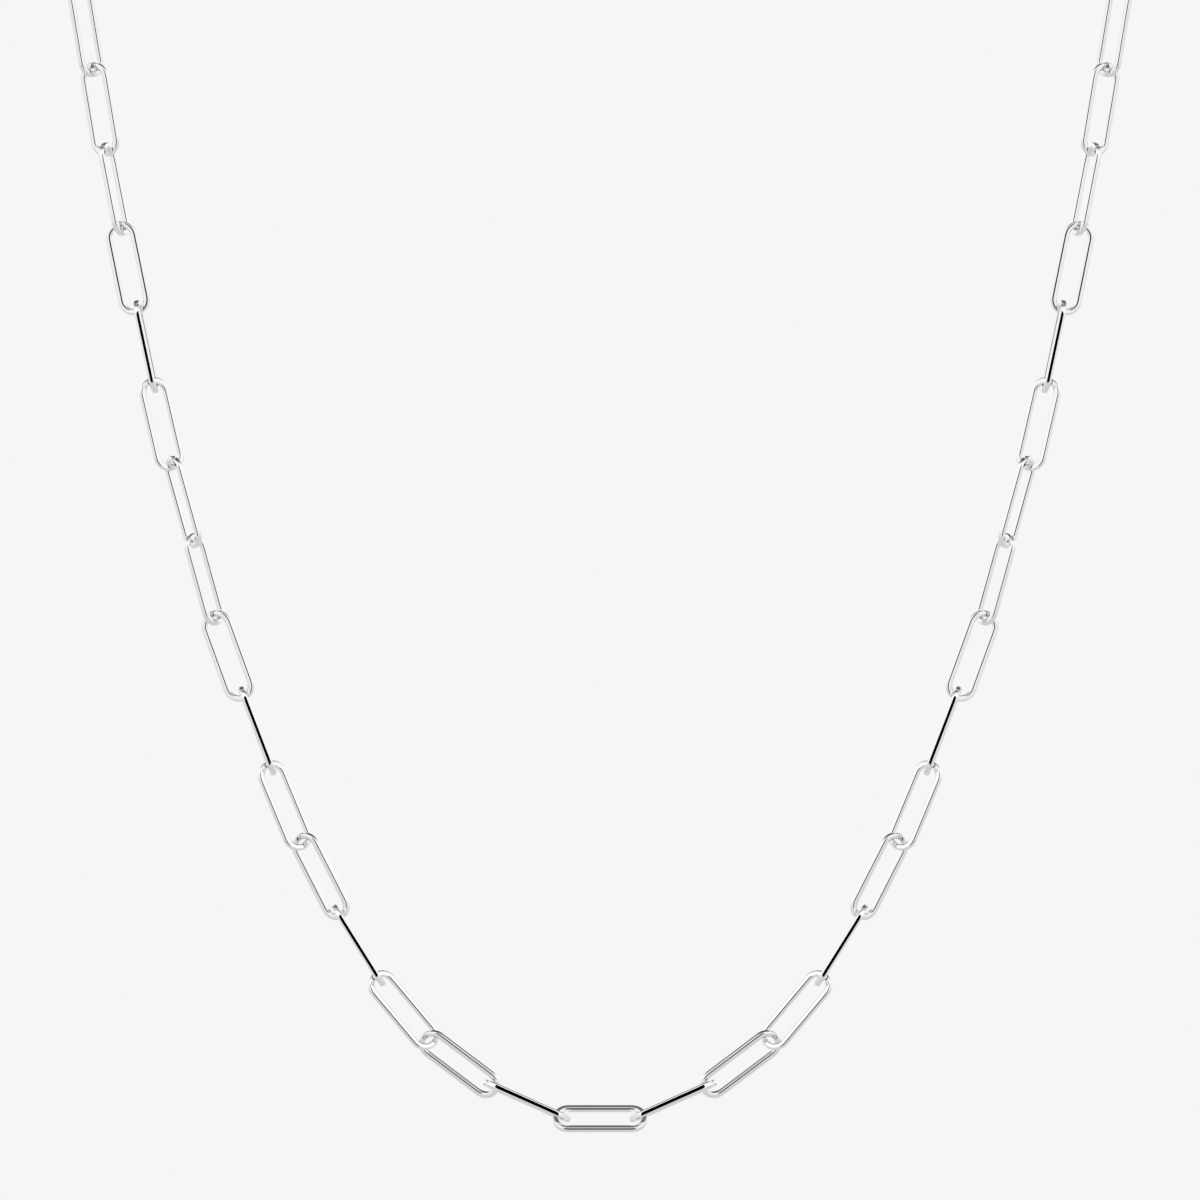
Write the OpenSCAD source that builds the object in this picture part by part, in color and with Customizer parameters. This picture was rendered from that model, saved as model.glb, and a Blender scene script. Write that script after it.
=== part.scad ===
/* [Links] */
// Length of a link over its two bows
link_len = 9.9; // [8:0.1:12]
// Width of a link over its two bars
link_w = 3.35; // [3.25:0.05:3.8]
// Thickness of the squared wire that every link is bent from
wire = 0.65; // [0.55:0.05:0.7]
// Radius of the softened edges of the wire
wire_edge = 0.22; // [0.16:0.01:0.25]
// Free play between two hooked links, along the chain
play = 0.18; // [0.17:0.01:0.25]

/* [Hidden stretch] */
// Links from the last front link to the clasp, on each side
back_links = 12; // [9:1:14]
// How soon the chain levels out on its way to the nape
levelling = 3.2; // [2:0.1:4]

/* [Clasp] */
// Distance between the two places where the chain pulls on the clasp
clasp_pull = 9.6; // [8:0.1:12]
// Thickness of the rounded rings at the clasp's two ends
clasp_ring = 1.1; // [0.9:0.05:1.2]
// Radius of the large ring, to the middle of its wall
hook_r = 1.8; // [1.6:0.05:2.2]
// Radius of the small ring, to the middle of its wall
eye_r = 1.4; // [1.35:0.05:1.8]
// Thickness of the solid body between the rings
clasp_body = 1.5; // [1.3:0.05:2]
// Radius of the thumb rest on the body's edge
thumb_r = 0.8; // [0.6:0.05:1]

/* [Hidden] */
$fn = 48;
silver = [0.80, 0.80, 0.81];

// The front links of one side, from the one beside the lowest link upwards. RISE is the
// link's angle above level and TURN its angle away from facing the front, both in
// degrees. SAG is how far it hangs below the line of pull in its own plane, as a share
// of the wire.
RISE = 0;
TURN = 1;
SAG = 2;
LOWEST = [0, 138, -0.45];
FRONT = [
    [24, 84, 0],
    [37, 30, 0.45],
    [50, 150, -0.35],
    [58, 90, 0],
    [63, 33, -0.2],
    [67.5, 150, -0.35],
    [69, 86, 0],
    [70, 16, 0.2],
    [74.5, 125, -0.05],
    [74.5, 61, 0],
    [77, 154, -0.3],
    [78, 95, 0],
    [78.5, 12, 0.35],
    [79, 113, 0],
    [80.5, 31, -0.05],
    [80.5, 134, -0.1],
    [81, 69, 0],
];
front_links = len(FRONT);

// Angle that every hidden joint leaves room to bend by, in degrees
bend_angle = 22;

bow_r = (link_w - wire) / 2;
bar_len = link_len - link_w;
clasp_reach = (wire + clasp_ring) / 2 + play;

function link_name(side, i) = str(side, "_link_", i < 10 ? "0" : "", i);

// Angle between two faces, folded to between 0 and 90 degrees
function folded(angle) =
    let (rest = abs(angle) % 180) min(rest, 180 - rest);

// Thickness of the wire across a slant of its section
function across(slant) =
    (wire - 2 * wire_edge) * (cos(slant) + sin(slant)) + 2 * wire_edge;

// How far a link that hangs beside the line of pull climbs along its own bow
function climb(sag) =
    let (room = bow_r - wire - play) room - sqrt(max(0, room * room - pow(sag * wire, 2)));

// How far the wire middles of two bows reach past each other when they are pulled tight,
// from the turn and the bend between their links and from how far each of them sags
function reach(turned, bend, sag_a, sag_b) =
    let (
        apart = across(90 - folded(turned)) + play,
        share = pow(sin(folded(turned) / 2), 2),
        nested = (1 - share) * (4 * bow_r * bow_r - apart * apart / share),
        tight = 2 * bow_r * share >= apart ? apart : 2 * bow_r - sqrt(max(0, nested))
    )
    tight + wire * sin(abs(bend)) / 2 + climb(sag_a) + climb(sag_b);
function reach_between(a, b) = reach(b[TURN] - a[TURN], b[RISE] - a[RISE], a[SAG], b[SAG]);
back_reach = reach(90, bend_angle, 0, 0);

// Unit vector along a link, from its rise and its heading round the neck
function along(rise, heading) =
    [cos(rise) * cos(heading), cos(rise) * sin(heading), sin(rise)];

// Distance between a link's two joints, from how far its neighbours reach in
function span(reach_a, reach_b) = link_len - wire - (reach_a + reach_b) / 2;

// The front of one side, link by link: the reach at its upper joint, its step and joints
front_reach = [for (i = [0:front_links - 1])
    i == front_links - 1 ? back_reach : reach_between(FRONT[i], FRONT[i + 1])];
first_reach = reach_between(LOWEST, FRONT[0]);
lowest_span = span(first_reach, first_reach);
front_span = [for (i = [0:front_links - 1])
    span(i == 0 ? first_reach : front_reach[i - 1], front_reach[i])];
front_step = [for (i = [0:front_links - 1]) front_span[i] * along(FRONT[i][RISE], 0)];
front_joint = [for (i = 0, p = [lowest_span / 2, 0, 0]; i <= front_links;
    p = p + (i < front_links ? front_step[i] : [0, 0, 0]), i = i + 1) p];

// The hidden stretch of one side levels out while it heads round the neck. The haste of
// the turn is the one that brings its last joint to the clasp.
top_rise = FRONT[front_links - 1][RISE];
function back_share(i) = (i + 0.5) / back_links;
function back_rise(i) = top_rise * pow(1 - back_share(i), levelling);
function back_heading(i, haste) = 180 * pow(back_share(i), haste);
function back_span(i) = span(back_reach, i == back_links - 1 ? clasp_reach : back_reach);
function back_step(i, haste) = back_span(i) * along(back_rise(i), back_heading(i, haste));
function back_joint(i, haste) =
    i == 0 ? front_joint[front_links] : back_joint(i - 1, haste) + back_step(i - 1, haste);
function closing_haste(low, high, tries) =
    let (middle = (low + high) / 2)
    tries == 0 ? middle
    : back_joint(back_links, middle)[0] > clasp_pull / 2
        ? closing_haste(low, middle, tries - 1)
        : closing_haste(middle, high, tries - 1);
haste = closing_haste(0.1, 3, 40);

// Each hidden link is turned about a right angle from the one before it, and the last one
// lies flat in the clasp. The twist is what the heading alone turns a rising link by.
twist = [for (i = 0, t = 0; i < back_links;
    t = t + (back_heading(i + 1, haste) - back_heading(i, haste)) * sin(back_rise(i)), i = i + 1)
    t + back_heading(0, haste) * sin(top_rise)];
top_turn = FRONT[front_links - 1][TURN];
half_turns = round((90 * back_links - twist[back_links - 1] + top_turn - 90) / 180);
turn_step = (90 + 180 * half_turns + twist[back_links - 1] - top_turn) / back_links;
function back_turn(i) = top_turn + (i + 1) * turn_step - twist[i];

// The origin is where the clasp's inner face rests on the nape
nape = back_joint(back_links, haste);
to_nape = [0, clasp_body / 2 - nape[1], -nape[2]];

// Section of the wire: a square with softened edges
module wire_section() {
    flat = wire - 2 * wire_edge;
    square([flat, wire], center = true);
    square([wire, flat], center = true);
    for (x = [-1, 1], y = [-1, 1])
        translate([x, y] * flat / 2)
            circle(wire_edge);
}

// A link lies along X with its bars side by side in Y
module link() {
    for (end = [-1, 1]) {
        translate([-bar_len / 2, end * bow_r, 0])
            rotate([90, 0, 90])
                linear_extrude(bar_len)
                    wire_section();
        translate([end * bar_len / 2, 0, 0])
            rotate([0, 0, -90 * end])
                rotate_extrude(angle = 180)
                    translate([bow_r, 0])
                        wire_section();
    }
}

// A link around its middle, at its rise, heading and turn
module placed_link(middle, rise, heading, turn, sag) {
    translate(to_nape + middle)
        rotate([90 + turn, -rise, heading])
            translate([0, -sag * wire, 0])
                link();
}

module lowest_link() {
    color(silver) placed_link([0, 0, 0], LOWEST[RISE], 0, LOWEST[TURN], LOWEST[SAG]);
}

module front_link(i) {
    row = FRONT[i - 1];
    lower_reach = i == 1 ? first_reach : front_reach[i - 2];
    lean = (front_reach[i - 1] - lower_reach) / 4;
    middle = front_joint[i - 1] + front_step[i - 1] / 2 + lean * along(row[RISE], 0);
    placed_link(middle, row[RISE], 0, row[TURN], row[SAG]);
}

module right_link(i) {
    color(silver) front_link(i);
}

module left_link(i) {
    color(silver) mirror([1, 0, 0]) front_link(i);
}

module back_chain() {
    for (i = [0:back_links - 1]) {
        rise = back_rise(i);
        heading = back_heading(i, haste);
        lean = i == back_links - 1 ? (clasp_reach - back_reach) / 4 : 0;
        middle = back_joint(i, haste) + back_step(i, haste) / 2 + lean * along(rise, heading);
        placed_link(middle, rise, heading, back_turn(i), 0);
    }
}

module right_back_chain() {
    color(silver) back_chain();
}

module left_back_chain() {
    color(silver) mirror([1, 0, 0]) back_chain();
}

// A plain closed clasp: a large and a small ring on one solid body with a thumb rest
module clasp() {
    hook_x = -(clasp_pull + clasp_reach) / 2 + hook_r;
    eye_x = (clasp_pull + clasp_reach) / 2 - eye_r;
    taper = asin((hook_r - eye_r) / (eye_x - hook_x));
    edge = [sin(taper), cos(taper)];
    color(silver)
        translate([0, clasp_body / 2, 0])
            rotate([90, 0, 0]) {
                for (ring = [[hook_x, hook_r], [eye_x, eye_r]])
                    translate([ring[0], 0, 0])
                        rotate_extrude()
                            translate([ring[1], 0])
                                circle(clasp_ring / 2);
                translate([0, 0, -clasp_body / 2])
                    linear_extrude(clasp_body)
                        difference() {
                            union() {
                                polygon([
                                    [hook_x, 0] + hook_r * edge,
                                    [eye_x, 0] + eye_r * edge,
                                    [eye_x, 0] + eye_r * [edge[0], -edge[1]],
                                    [hook_x, 0] + hook_r * [edge[0], -edge[1]],
                                ]);
                                translate([hook_x + 2 * hook_r, hook_r])
                                    circle(thumb_r);
                            }
                            translate([hook_x, 0]) circle(hook_r);
                            translate([eye_x, 0]) circle(eye_r);
                        }
            }
}

lowest_link();
clasp();
left_back_chain();
right_back_chain();
for (i = [1:front_links]) {
    left_link(i);
    right_link(i);
}
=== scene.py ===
"""Looks of a polished silver paperclip chain necklace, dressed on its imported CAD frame.

Every link is rebuilt from drawn, squared wire at the place that its CAD node has, the
hidden clasp is rebuilt as one cast piece, and all of it hangs over a plain pale floor in
a soft white studio. Lengths are in metres.
"""

import logging
import math
from dataclasses import dataclass, field
from enum import Enum

import bmesh
import bpy
import numpy as np
from mathutils import Matrix, Vector

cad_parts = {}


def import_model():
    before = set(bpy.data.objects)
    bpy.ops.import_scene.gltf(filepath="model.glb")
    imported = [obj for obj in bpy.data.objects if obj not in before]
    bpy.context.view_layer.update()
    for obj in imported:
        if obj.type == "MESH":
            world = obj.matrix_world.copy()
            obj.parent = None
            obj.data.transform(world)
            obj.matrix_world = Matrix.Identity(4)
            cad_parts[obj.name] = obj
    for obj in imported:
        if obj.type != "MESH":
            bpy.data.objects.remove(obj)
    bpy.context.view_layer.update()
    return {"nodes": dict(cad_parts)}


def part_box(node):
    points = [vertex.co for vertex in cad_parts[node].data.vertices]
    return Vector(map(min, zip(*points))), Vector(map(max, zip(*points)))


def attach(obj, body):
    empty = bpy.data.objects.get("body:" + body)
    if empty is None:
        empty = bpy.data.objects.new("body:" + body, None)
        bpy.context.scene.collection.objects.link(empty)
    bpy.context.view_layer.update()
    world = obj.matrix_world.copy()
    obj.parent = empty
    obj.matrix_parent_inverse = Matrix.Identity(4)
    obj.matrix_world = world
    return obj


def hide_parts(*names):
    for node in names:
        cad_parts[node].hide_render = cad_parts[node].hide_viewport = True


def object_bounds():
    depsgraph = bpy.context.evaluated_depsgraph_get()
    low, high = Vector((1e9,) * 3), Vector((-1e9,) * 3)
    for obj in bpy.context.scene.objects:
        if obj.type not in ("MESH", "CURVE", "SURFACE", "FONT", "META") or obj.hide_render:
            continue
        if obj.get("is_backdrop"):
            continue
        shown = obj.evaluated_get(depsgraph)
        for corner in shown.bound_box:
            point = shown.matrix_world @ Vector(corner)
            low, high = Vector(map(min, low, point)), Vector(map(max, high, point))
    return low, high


LOG = logging.getLogger("paperclip_chain")
MM = 0.001
SAME_CORNER = 0.0001 * MM
SAME_SEAM = 0.002 * MM
BODY = "root"


class Slot(Enum):
    """Names of the record's material slots for the links and the clasp."""

    LINKS = "link_silver"
    CLASP = "clasp_silver"


class Coordinates(Enum):
    """What a finish lays its marks along."""

    WIRE = "UV"
    SOLID = "Object"


class NodeBoard:
    """Adds and joins the nodes of one shader tree."""

    def __init__(self, tree: bpy.types.NodeTree) -> None:
        """Empties the tree.

        Args:
            tree: The node tree to fill.
        """
        self.tree = tree
        tree.nodes.clear()

    def add(
        self, kind: str, inputs: dict[str | int, object] | None = None, **settings: object
    ) -> bpy.types.Node:
        """Adds one node with its settings, values and incoming links.

        Args:
            kind: The node's type.
            inputs: A value, or the output socket to link, for each input.
            **settings: The node's own properties.

        Returns:
            The new node.
        """
        node = self.tree.nodes.new(kind)
        for name, value in settings.items():
            setattr(node, name, value)
        for key, value in (inputs or {}).items():
            if isinstance(value, bpy.types.NodeSocket):
                self.tree.links.new(value, node.inputs[key])
            else:
                node.inputs[key].default_value = value
        return node


@dataclass(frozen=True)
class SilverFinish:
    """Polished sterling silver with the faint marks that its making leaves.

    Attributes:
        name: The material's name.
        coordinates: What the marks run along.
        colour: Reflectance of the metal.
        gloss: Lowest and highest roughness.
        mark_scale: Marks per millimetre along each coordinate.
        mark_depth: Height of the marks.
        mark_detail: How many finer layers the marks have.
        mark_roughness: How strong the finer layers of the marks are.
        mark_span: Lowest and highest mark that the roughness is spread over.
        wave_scale: Soft waves per metre that polishing leaves.
        wave_depth: Height of the waves.
        wave_detail: How many finer layers the waves have.
    """

    name: str
    coordinates: Coordinates
    colour: tuple[float, float, float] = (0.955, 0.955, 0.958)
    gloss: tuple[float, float] = (0.035, 0.085)
    mark_scale: tuple[float, float, float] = (0.5, 16.0, 1.0)
    mark_depth: float = 0.0004 * MM
    mark_detail: float = 3.0
    mark_roughness: float = 0.6
    mark_span: tuple[float, float] = (0.3, 0.7)
    wave_scale: float = 520.0
    wave_depth: float = 0.008 * MM
    wave_detail: float = 1.0

    def material(self) -> bpy.types.Material:
        """Builds the finish as a node material.

        Returns:
            The new material.
        """
        material = bpy.data.materials.new(self.name)
        material.use_nodes = True
        board = NodeBoard(material.node_tree)
        place = board.add("ShaderNodeTexCoord")
        per_mm = 1.0 if self.coordinates is Coordinates.WIRE else 1.0 / MM
        laid = board.add(
            "ShaderNodeMapping",
            {
                "Vector": place.outputs[self.coordinates.value],
                "Scale": [scale * per_mm for scale in self.mark_scale],
            },
        )
        marks = board.add(
            "ShaderNodeTexNoise",
            {
                "Vector": laid.outputs["Vector"],
                "Scale": 1.0,
                "Detail": self.mark_detail,
                "Roughness": self.mark_roughness,
            },
        )
        waves = board.add(
            "ShaderNodeTexNoise",
            {
                "Vector": place.outputs["Object"],
                "Scale": self.wave_scale,
                "Detail": self.wave_detail,
            },
        )
        rubbed = board.add(
            "ShaderNodeMapRange",
            {
                "Value": marks.outputs[0],
                "From Min": self.mark_span[0],
                "From Max": self.mark_span[1],
                "To Min": self.gloss[0],
                "To Max": self.gloss[1],
            },
        )
        waved = board.add(
            "ShaderNodeBump",
            {"Strength": 1.0, "Distance": self.wave_depth, "Height": waves.outputs[0]},
        )
        marked = board.add(
            "ShaderNodeBump",
            {
                "Strength": 1.0,
                "Distance": self.mark_depth,
                "Height": marks.outputs[0],
                "Normal": waved.outputs["Normal"],
            },
        )
        shader = board.add(
            "ShaderNodeBsdfPrincipled",
            {
                "Base Color": (*self.colour, 1.0),
                "Metallic": 1.0,
                "Roughness": rubbed.outputs["Result"],
                "Normal": marked.outputs["Normal"],
            },
        )
        board.add("ShaderNodeOutputMaterial", {"Surface": shader.outputs["BSDF"]})
        return material


@dataclass(frozen=True)
class Placement:
    """Where one link lies: its own axes and middle, and its extents along them.

    Attributes:
        matrix: From the link's own axes to the frame.
        extents: Length, width and thickness of the solid.
    """

    matrix: Matrix
    extents: tuple[float, float, float]

    @classmethod
    def of_solid(cls, corners: np.ndarray) -> "Placement":
        """Finds the axes of a link from the second moments of its surface.

        Args:
            corners: The corners of its triangles, as an array of (triangles, 3, 3).

        Returns:
            The link's placement, its longest axis first and its thinnest last.
        """
        sides = corners[:, 1:] - corners[:, :1]
        area = np.linalg.norm(np.cross(sides[:, 0], sides[:, 1]), axis=1)
        centroid = (corners.mean(1) * area[:, None]).sum(0) / area.sum()
        arms = corners - centroid
        total = arms.sum(1)
        moments = np.einsum("t,tci,tcj->ij", area, arms, arms)
        moments += np.einsum("t,ti,tj->ij", area, total, total)
        axes = np.linalg.eigh(moments)[1][:, ::-1]
        axes[:, 2] = np.cross(axes[:, 0], axes[:, 1])
        spread = arms.reshape(-1, 3) @ axes
        low, high = spread.min(0), spread.max(0)
        middle = centroid + axes @ ((low + high) / 2)
        matrix = Matrix.Translation(Vector(middle)) @ Matrix(axes.tolist()).to_4x4()
        return cls(matrix, tuple((high - low).tolist()))


def solids_of(node: bpy.types.Object) -> list[np.ndarray]:
    """Splits a CAD node into its separate solids.

    Args:
        node: The node's mesh object.

    Returns:
        The corners of the triangles of each solid, as arrays of (triangles, 3, 3).
    """
    shell = bmesh.new()
    shell.from_mesh(node.data)
    bmesh.ops.remove_doubles(shell, verts=shell.verts[:], dist=SAME_CORNER)
    bmesh.ops.triangulate(shell, faces=shell.faces[:])
    left = dict.fromkeys(shell.faces)
    solids = []
    while left:
        front = [left.popitem()[0]]
        found = []
        while front:
            face = front.pop()
            found.append([tuple(corner.co) for corner in face.verts])
            for edge in face.edges:
                for other in edge.link_faces:
                    if other in left:
                        del left[other]
                        front.append(other)
        solids.append(np.array(found))
    shell.free()
    return solids


def finished_piece(name: str, mesh: bpy.types.Mesh, node: str) -> bpy.types.Object:
    """Puts a mesh in the scene in the place of a CAD node.

    Args:
        name: The piece's name.
        mesh: Its mesh, at its place in the frame.
        node: The CAD node that it stands for.

    Returns:
        The new object, which rides with the body.
    """
    piece = bpy.data.objects.new(name, mesh)
    bpy.context.scene.collection.objects.link(piece)
    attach(piece, BODY)
    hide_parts(node)
    triangles = sum(len(face.vertices) - 2 for face in mesh.polygons)
    LOG.info("%s stands for %s with %d triangles", name, node, triangles)
    return piece


@dataclass(frozen=True)
class LinkWire:
    """One long oval link bent from squared wire, lying along X with its bars in Y.

    Attributes:
        length: Length over the two bows.
        width: Width over the two bars.
        wire: Thickness of the wire.
        edge: Radius of the wire's softened edges.
        edge_steps: Faces round each softened edge.
        bow_steps: Faces round each bow.
        bar_steps: Faces along each bar.
    """

    length: float
    width: float
    wire: float
    edge: float = 0.22 * MM
    edge_steps: int = 7
    bow_steps: int = 32
    bar_steps: int = 8

    @property
    def bow(self) -> float:
        """Radius of the middle of a bow."""
        return (self.width - self.wire) / 2

    @property
    def bar(self) -> float:
        """Length of a straight bar."""
        return self.length - self.width

    def _section(self, link: bmesh.types.BMesh) -> list[bmesh.types.BMEdge]:
        """Makes the wire's section at the start of the first bar.

        Args:
            link: The mesh to make it in.

        Returns:
            The section's edges.
        """
        bmesh.ops.create_grid(link, x_segments=1, y_segments=1, size=self.wire / 2)
        bmesh.ops.bevel(
            link,
            geom=link.verts[:],
            offset=self.edge,
            segments=self.edge_steps,
            profile=0.5,
            affect="VERTICES",
            material=-1,
        )
        bmesh.ops.delete(link, geom=link.faces[:], context="FACES_ONLY")
        bmesh.ops.rotate(
            link, verts=link.verts[:], cent=(0, 0, 0), matrix=Matrix.Rotation(math.pi / 2, 3, "Y")
        )
        bmesh.ops.translate(link, verts=link.verts[:], vec=(-self.bar / 2, self.bow, 0))
        return link.edges[:]

    def _draw_bar(
        self, link: bmesh.types.BMesh, section: list[bmesh.types.BMEdge], way: int
    ) -> list[bmesh.types.BMEdge]:
        """Draws the section along one bar.

        Args:
            link: The mesh that grows.
            section: The edges of the wire's open end.
            way: 1 along X, or -1 against it.

        Returns:
            The edges of the new open end.
        """
        for _ in range(self.bar_steps):
            drawn = bmesh.ops.extrude_edge_only(link, edges=section)["geom"]
            verts = [item for item in drawn if isinstance(item, bmesh.types.BMVert)]
            section = [item for item in drawn if isinstance(item, bmesh.types.BMEdge)]
            bmesh.ops.translate(link, verts=verts, vec=(way * self.bar / self.bar_steps, 0, 0))
        return section

    def _bend_bow(
        self, link: bmesh.types.BMesh, section: list[bmesh.types.BMEdge], way: int
    ) -> list[bmesh.types.BMEdge]:
        """Bends the section round one bow.

        Args:
            link: The mesh that grows.
            section: The edges of the wire's open end.
            way: 1 for the bow at the end of X, or -1 for the other.

        Returns:
            The edges of the new open end.
        """
        bent = bmesh.ops.spin(
            link,
            geom=section,
            cent=(way * self.bar / 2, 0, 0),
            axis=(0, 0, -1),
            angle=math.pi,
            steps=self.bow_steps,
            use_merge=False,
        )["geom_last"]
        return [item for item in bent if isinstance(item, bmesh.types.BMEdge)]

    def _lay_uv(self, link: bmesh.types.BMesh) -> None:
        """Lays a UV map in millimetres, U along the wire and V round it.

        Args:
            link: The finished mesh.
        """
        layer = link.loops.layers.uv.new("WireUV")
        half_round = self.bar + math.pi * self.bow
        for face in link.faces:
            middle = face.calc_center_median()
            on_bow = abs(middle.x) > self.bar / 2
            end = math.copysign(1.0, middle.x if on_bow else middle.y)
            centre_turn = self._turn_round(middle, on_bow)
            for loop in face.loops:
                point = loop.vert.co
                if on_bow:
                    past = max(0.0, end * point.x - self.bar / 2)
                    along = self.bar + self.bow * math.atan2(past, end * point.y)
                else:
                    along = self.bar / 2 + end * point.x
                along += 0.0 if end > 0 else half_round
                turn = self._turn_round(point, on_bow)
                turn += 2 * math.pi * round((centre_turn - turn) / (2 * math.pi))
                loop[layer].uv = (along / MM, turn * self.wire / 2 / MM)

    def _turn_round(self, point: Vector, on_bow: bool) -> float:
        """Gives the angle of a point round the wire's own middle.

        Args:
            point: The point, in the link's axes.
            on_bow: True on a bow, False on a bar.

        Returns:
            The angle in radians.
        """
        from_axis = math.hypot(abs(point.x) - self.bar / 2, point.y) if on_bow else abs(point.y)
        return math.atan2(point.z, from_axis - self.bow)

    def mesh(self, name: str) -> bpy.types.Mesh:
        """Bends one closed link.

        Args:
            name: The mesh's name.

        Returns:
            The link in its own axes.
        """
        link = bmesh.new()
        end = self._section(link)
        for way in (1, -1):
            end = self._bend_bow(link, self._draw_bar(link, end, way), way)
        bmesh.ops.remove_doubles(link, verts=link.verts[:], dist=SAME_SEAM)
        bmesh.ops.recalc_face_normals(link, faces=link.faces[:])
        for face in link.faces:
            face.smooth = True
        self._lay_uv(link)
        mesh = bpy.data.meshes.new(name)
        link.to_mesh(mesh)
        link.free()
        return mesh


@dataclass
class PaperclipChain:
    """All the links, each at the place of its CAD solid.

    Attributes:
        nodes: The CAD nodes by name.
        finish: The finish of the wire.
        names: The nodes that are links or rows of links.
    """

    nodes: dict[str, bpy.types.Object]
    finish: SilverFinish
    names: list[str] = field(init=False)

    def __post_init__(self) -> None:
        """Picks the nodes that the chain is made of."""
        self.names = sorted(name for name in self.nodes if "link" in name or "chain" in name)

    def build(self) -> list[bpy.types.Object]:
        """Builds one piece for each node of the chain.

        Returns:
            The pieces.
        """
        return [self._build_row(name) for name in self.names]

    def _build_row(self, name: str) -> bpy.types.Object:
        """Builds the links of one node as one piece.

        Args:
            name: The node's name.

        Returns:
            The dressed piece.
        """
        row = bmesh.new()
        for corners in solids_of(self.nodes[name]):
            placement = Placement.of_solid(corners)
            pattern = LinkWire(*placement.extents).mesh("link_pattern")
            first = len(row.verts)
            row.from_mesh(pattern)
            row.verts.ensure_lookup_table()
            bmesh.ops.transform(row, matrix=placement.matrix, verts=row.verts[first:])
            bpy.data.meshes.remove(pattern)
        mesh = bpy.data.meshes.new(f"{name}_silver")
        row.to_mesh(mesh)
        row.free()
        return self.dress(finished_piece(f"{name}_silver", mesh, name))

    def dress(self, piece: bpy.types.Object) -> bpy.types.Object:
        """Gives a piece the wire's finish.

        Args:
            piece: The piece to dress.

        Returns:
            The same piece.
        """
        material = bpy.data.materials.get(self.finish.name) or self.finish.material()
        piece.data.materials.append(material)
        return piece


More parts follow.
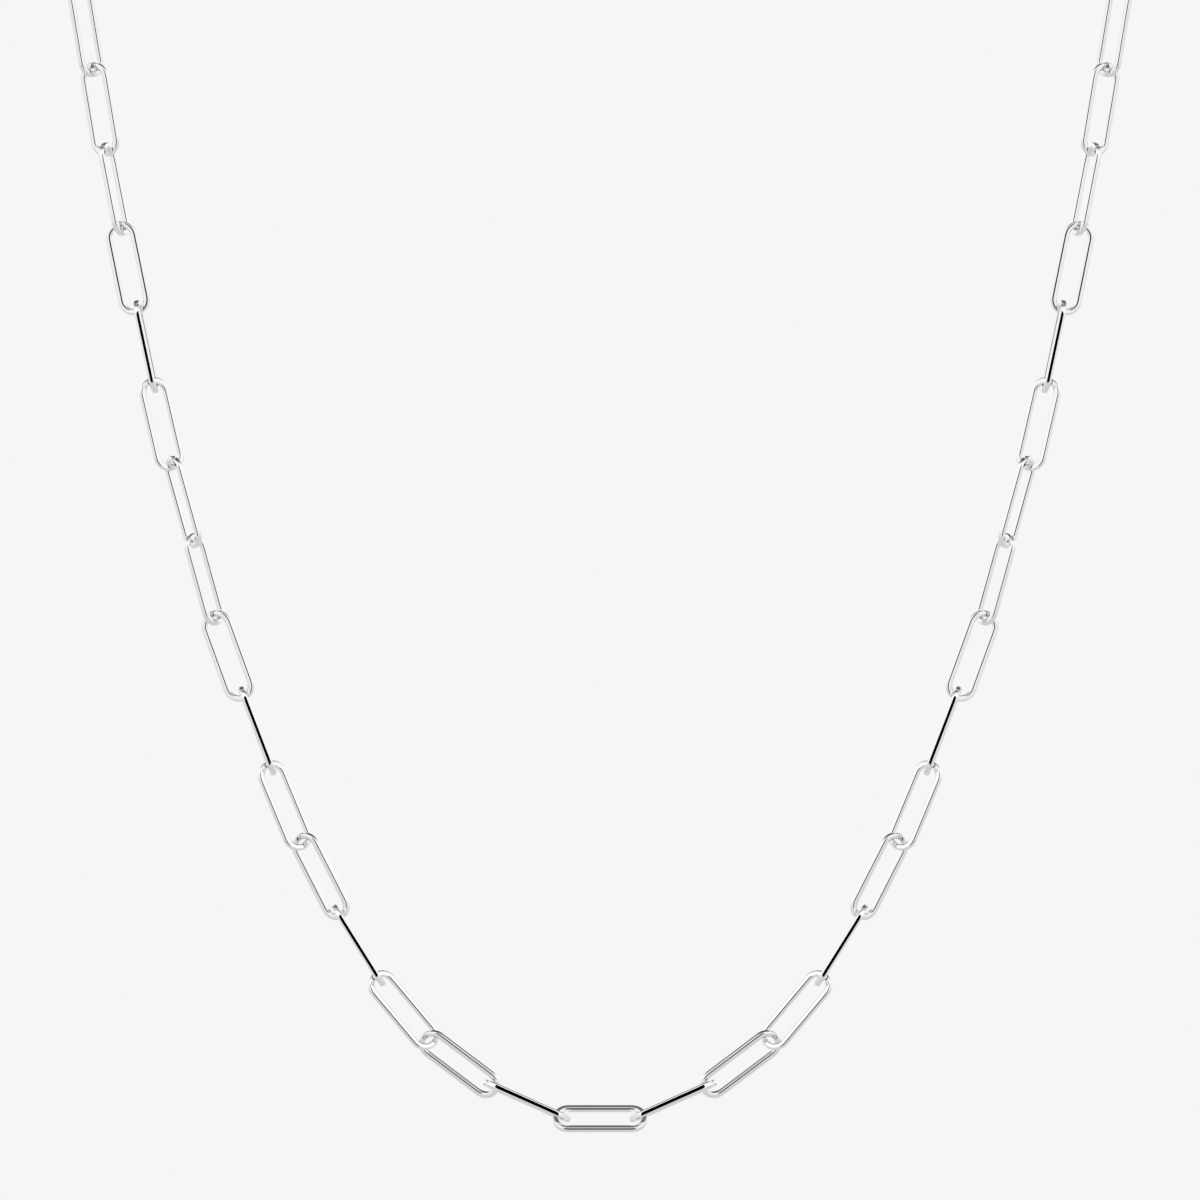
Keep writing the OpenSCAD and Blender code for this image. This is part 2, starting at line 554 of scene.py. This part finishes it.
@dataclass
class Clasp:
    """The plain closed clasp: a large and a small ring on one body with a thumb rest.

    Attributes:
        finish: The finish of the casting.
        ring: Thickness of the rounded rings.
        hook: Radius of the large ring, to the middle of its wall.
        eye: Radius of the small ring, to the middle of its wall.
        thumb: Radius of the thumb rest.
        ring_sides: Faces round the wall of a ring.
        ring_steps: Faces along a ring.
        rim_steps: Faces over each rounded edge of the body.
        thumb_sides: Faces round the thumb rest.
        cell: Size of the cells that the casting is blended from.
        softening: Share of the way that each round of softening evens out.
        softening_rounds: How often the casting is softened.
    """

    finish: SilverFinish
    ring: float = 1.1 * MM
    hook: float = 1.8 * MM
    eye: float = 1.4 * MM
    thumb: float = 0.8 * MM
    ring_sides: int = 24
    ring_steps: int = 72
    rim_steps: int = 5
    thumb_sides: int = 32
    cell: float = 0.07 * MM
    softening: float = 0.5
    softening_rounds: int = 14

    def build(self) -> bpy.types.Object:
        """Builds the clasp as one blended casting.

        Returns:
            The dressed piece.
        """
        low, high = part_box("clasp")
        middle = (low + high) / 2
        hook_x = low.x + self.hook + self.ring / 2
        eye_x = high.x - self.eye - self.ring / 2
        casting = bmesh.new()
        for centre_x, radius in ((hook_x, self.hook), (eye_x, self.eye)):
            self._add_ring(casting, Vector((centre_x, middle.y, 0)), radius)
        self._add_body(casting, hook_x, eye_x, middle.y, high.y - low.y)
        bmesh.ops.recalc_face_normals(casting, faces=casting.faces[:])
        mesh = bpy.data.meshes.new("clasp_silver")
        casting.to_mesh(mesh)
        casting.free()
        return self.dress(finished_piece("clasp_silver", self._blend(mesh), "clasp"))

    def _add_ring(self, casting: bmesh.types.BMesh, centre: Vector, radius: float) -> None:
        """Spins one rounded ring.

        Args:
            casting: The mesh to add it to.
            centre: The ring's middle.
            radius: Its radius, to the middle of its wall.
        """
        made = bmesh.ops.create_circle(
            casting,
            segments=self.ring_sides,
            radius=self.ring / 2,
            matrix=Matrix.Translation(centre + Vector((radius, 0, 0))),
        )
        edges = list({edge for vert in made["verts"] for edge in vert.link_edges})
        bmesh.ops.spin(
            casting,
            geom=edges,
            cent=centre,
            axis=(0, 1, 0),
            angle=2 * math.pi,
            steps=self.ring_steps,
            use_merge=True,
        )

    def _add_body(
        self, casting: bmesh.types.BMesh, hook_x: float, eye_x: float, y: float, depth: float
    ) -> None:
        """Adds the solid body between the rings, and its thumb rest.

        Args:
            casting: The mesh to add them to.
            hook_x: X of the large ring's middle.
            eye_x: X of the small ring's middle.
            y: Y of the clasp's middle.
            depth: Thickness of the body.
        """
        rim = self.ring / 2
        start, end = hook_x + self.hook - rim / 2, eye_x - self.eye + rim / 2
        slope = (self.hook - self.eye) / (eye_x - hook_x)
        body = bmesh.ops.create_cube(
            casting,
            size=1.0,
            matrix=Matrix.Translation(((start + end) / 2, y, 0))
            @ Matrix.Diagonal((end - start, depth, 1.0, 1.0)),
        )["verts"]
        for vert in body:
            vert.co.z *= 2 * (self.hook - slope * (vert.co.x - hook_x))
        bmesh.ops.bevel(
            casting,
            geom=list({edge for vert in body for edge in vert.link_edges}),
            offset=rim / 2,
            segments=self.rim_steps,
            profile=0.5,
            affect="EDGES",
            material=-1,
        )
        bmesh.ops.create_cone(
            casting,
            cap_ends=True,
            segments=self.thumb_sides,
            radius1=self.thumb,
            radius2=self.thumb,
            depth=depth,
            matrix=Matrix.Translation((hook_x + 2 * self.hook, y, self.hook))
            @ Matrix.Rotation(math.pi / 2, 4, "X"),
        )

    def _blend(self, mesh: bpy.types.Mesh) -> bpy.types.Mesh:
        """Blends the overlapping forms into one smooth casting.

        Args:
            mesh: The closed forms.

        Returns:
            One closed mesh.
        """
        rough = bpy.data.objects.new("clasp_rough", mesh)
        bpy.context.scene.collection.objects.link(rough)
        cells = rough.modifiers.new("Cells", "REMESH")
        cells.mode = "VOXEL"
        cells.voxel_size = self.cell
        cells.use_smooth_shade = True
        softened = rough.modifiers.new("Softened", "SMOOTH")
        softened.factor = self.softening
        softened.iterations = self.softening_rounds
        graph = bpy.context.evaluated_depsgraph_get()
        blended = bpy.data.meshes.new_from_object(rough.evaluated_get(graph))
        bpy.data.objects.remove(rough)
        return blended

    def dress(self, piece: bpy.types.Object) -> bpy.types.Object:
        """Gives the clasp its finish.

        Args:
            piece: The piece to dress.

        Returns:
            The same piece.
        """
        piece.data.materials.clear()
        piece.data.materials.append(self.finish.material())
        return piece


@dataclass(frozen=True)
class Panel:
    """A soft-edged zone of the studio that is lighter or darker than the rest.

    Attributes:
        name: What stands there.
        toward: Direction to its middle.
        core: Degrees from its middle that have its full level.
        rim: Degrees from its middle at which it has faded out.
        level: Its radiance.
        tall: How many times taller than wide it is.
    """

    name: str
    toward: tuple[float, float, float]
    core: float
    rim: float
    level: float
    tall: float = 1.0

    def share(self, board: NodeBoard, direction: bpy.types.NodeSocket) -> bpy.types.NodeSocket:
        """Works out how much of the panel stands in a direction.

        Args:
            board: The shader tree to work in.
            direction: The direction looked in.

        Returns:
            The share, from 0 outside the rim to 1 inside the core.
        """
        squeeze = Vector((1.0, 1.0, 1.0 / self.tall))
        squeezed = board.add(
            "ShaderNodeVectorMath", {0: direction, 1: squeeze}, operation="MULTIPLY"
        )
        unit = board.add(
            "ShaderNodeVectorMath", {0: squeezed.outputs["Vector"]}, operation="NORMALIZE"
        )
        middle = (Vector(self.toward) * squeeze).normalized()
        aligned = board.add(
            "ShaderNodeVectorMath",
            {0: unit.outputs["Vector"], 1: middle},
            operation="DOT_PRODUCT",
        )
        faded = board.add(
            "ShaderNodeMapRange",
            {
                "Value": aligned.outputs["Value"],
                "From Min": math.cos(math.radians(self.rim)),
                "From Max": math.cos(math.radians(self.core)),
            },
            interpolation_type="SMOOTHSTEP",
            label=self.name,
        )
        return faded.outputs["Result"]


@dataclass(frozen=True)
class Studio:
    """A white studio round the chain with a plain pale floor.

    Attributes:
        white: Radiance of the white walls.
        backdrop: Radiance that the camera sees behind the chain.
        panels: Zones that differ from the white, each over the ones before it.
        floor_drop: Height of the floor under the chain.
        floor_radius: Radius of the floor.
        floor_clear: Share of the floor's radius at which it starts to fade.
        floor_sides: Sides of the floor's rim.
        paper: How much light the floor gives back.
        lamp_watts: Power of the soft lamp over the floor.
        lamp_size: Width of the lamp.
        lamp_height: Height of the lamp over the origin.
    """

    white: float = 0.95
    backdrop: float = 0.9216
    panels: tuple[Panel, ...] = (
        Panel("bright back", (0, 1, 0), 50, 90, 1.15),
        Panel("bright camera side", (0, -1, 0), 45, 90, 1.05, 3.0),
        Panel("grey floor", (0, 0.15, -1), 45, 125, 0.65),
        Panel("dark ceiling", (0, 0.4, 1), 20, 60, 0.1),
        Panel("dark camera", (0, -1, 0), 20, 25, 0.0, 2.0),
    )
    floor_drop: float = 0.15
    floor_radius: float = 1.2
    floor_clear: float = 0.6
    floor_sides: int = 96
    paper: float = 0.92
    lamp_watts: float = 14.0
    lamp_size: float = 1.0
    lamp_height: float = 1.2

    def build(self) -> None:
        """Builds the world, the floor and the lamp."""
        self._build_world()
        self._build_floor()
        self._build_lamp()
        bpy.context.scene.view_settings.view_transform = "Standard"

    def _build_world(self) -> None:
        """Paints the walls of the studio by direction."""
        world = bpy.data.worlds.new("white_studio")
        world.use_nodes = True
        bpy.context.scene.world = world
        board = NodeBoard(world.node_tree)
        place = board.add("ShaderNodeTexCoord")
        level: float | bpy.types.NodeSocket = self.white
        for panel in self.panels:
            share = panel.share(board, place.outputs["Generated"])
            level = board.add("ShaderNodeMix", {0: share, 2: level, 3: panel.level}).outputs[0]
        walls = board.add("ShaderNodeBackground", {"Strength": level})
        seen = board.add("ShaderNodeBackground", {"Strength": self.backdrop})
        for node in (walls, seen):
            node.inputs["Color"].default_value = (1.0, 1.0, 1.0, 1.0)
        path = board.add("ShaderNodeLightPath")
        shown = board.add(
            "ShaderNodeMixShader",
            {0: path.outputs["Is Camera Ray"], 1: walls.outputs[0], 2: seen.outputs[0]},
        )
        board.add("ShaderNodeOutputWorld", {"Surface": shown.outputs[0]})

    def _build_floor(self) -> None:
        """Lays a round pale floor whose edge fades into the backdrop."""
        low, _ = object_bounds()
        disc = bmesh.new()
        bmesh.ops.create_circle(
            disc,
            cap_ends=True,
            segments=self.floor_sides,
            radius=self.floor_radius,
            matrix=Matrix.Translation((0, 0, low.z - self.floor_drop)),
        )
        mesh = bpy.data.meshes.new("pale_floor")
        disc.to_mesh(mesh)
        disc.free()
        floor = bpy.data.objects.new("pale_floor", mesh)
        floor.visible_glossy = False
        bpy.context.scene.collection.objects.link(floor)
        floor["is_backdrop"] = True
        material = bpy.data.materials.new("pale_paper")
        material.use_nodes = True
        board = NodeBoard(material.node_tree)
        place = board.add("ShaderNodeTexCoord")
        flat = board.add(
            "ShaderNodeVectorMath",
            {0: place.outputs["Object"], 1: (1.0, 1.0, 0.0)},
            operation="MULTIPLY",
        )
        reach = board.add("ShaderNodeVectorMath", {0: flat.outputs[0]}, operation="LENGTH")
        fade = board.add(
            "ShaderNodeMapRange",
            {
                "Value": reach.outputs["Value"],
                "From Min": self.floor_radius * self.floor_clear,
                "From Max": self.floor_radius,
            },
            interpolation_type="SMOOTHSTEP",
        )
        paper = board.add(
            "ShaderNodeBsdfDiffuse", {"Color": (self.paper, self.paper, self.paper, 1.0)}
        )
        clear = board.add("ShaderNodeBsdfTransparent")
        faded = board.add(
            "ShaderNodeMixShader",
            {0: fade.outputs["Result"], 1: paper.outputs[0], 2: clear.outputs[0]},
        )
        board.add("ShaderNodeOutputMaterial", {"Surface": faded.outputs[0]})
        mesh.materials.append(material)

    def _build_lamp(self) -> None:
        """Hangs one large soft lamp that lights the floor and isn't seen itself."""
        light = bpy.data.lights.new("soft_lamp", "AREA")
        light.shape = "DISK"
        light.size = self.lamp_size
        light.energy = self.lamp_watts
        lamp = bpy.data.objects.new("soft_lamp", light)
        lamp.location = (0.0, 0.0, self.lamp_height)
        lamp.visible_glossy = False
        lamp.visible_camera = False
        bpy.context.scene.collection.objects.link(lamp)


@dataclass(frozen=True)
class PhotoCamera:
    """A long lens square on to the chain's front.

    Attributes:
        distance: From the lens to the front links.
        frame_width: What the frame shows at the front links.
        frame_px: Width of the photograph in pixels.
        lowest_row: Pixel row of the photograph that the lowest link's middle is put on.
        reach: Farthest distance that the lens shows.
    """

    distance: float = 1.2
    frame_width: float = 0.1245
    frame_px: float = 1200.0
    lowest_row: float = 1118.7
    reach: float = 100.0

    def build(self) -> None:
        """Sets up the camera and makes it the scene's."""
        low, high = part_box("lowest_link")
        middle = (low + high) / 2
        rise = (self.lowest_row - self.frame_px / 2) * self.frame_width / self.frame_px
        data = bpy.data.cameras.new("photo_camera")
        data.lens = data.sensor_width * self.distance / self.frame_width
        data.clip_end = self.reach
        camera = bpy.data.objects.new("photo_camera", data)
        camera.location = (0.0, middle.y - self.distance, middle.z + rise)
        camera.rotation_euler = (math.pi / 2, 0.0, 0.0)
        bpy.context.scene.collection.objects.link(camera)
        bpy.context.scene.camera = camera


def main() -> None:
    """Dresses the necklace on its frame and sets up the studio."""
    logging.basicConfig(level=logging.INFO, format="%(message)s")
    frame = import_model()
    wire = SilverFinish("drawn_silver", Coordinates.WIRE)
    casting = SilverFinish(
        "cast_silver",
        Coordinates.SOLID,
        gloss=(0.06, 0.14),
        mark_scale=(5.0, 5.0, 5.0),
        mark_depth=0.001 * MM,
    )
    pieces = PaperclipChain(frame["nodes"], wire).build()
    pieces.append(Clasp(casting).build())
    Studio().build()
    PhotoCamera().build()
    LOG.info("%d pieces in all", len(pieces))


if __name__ == "__main__":
    main()
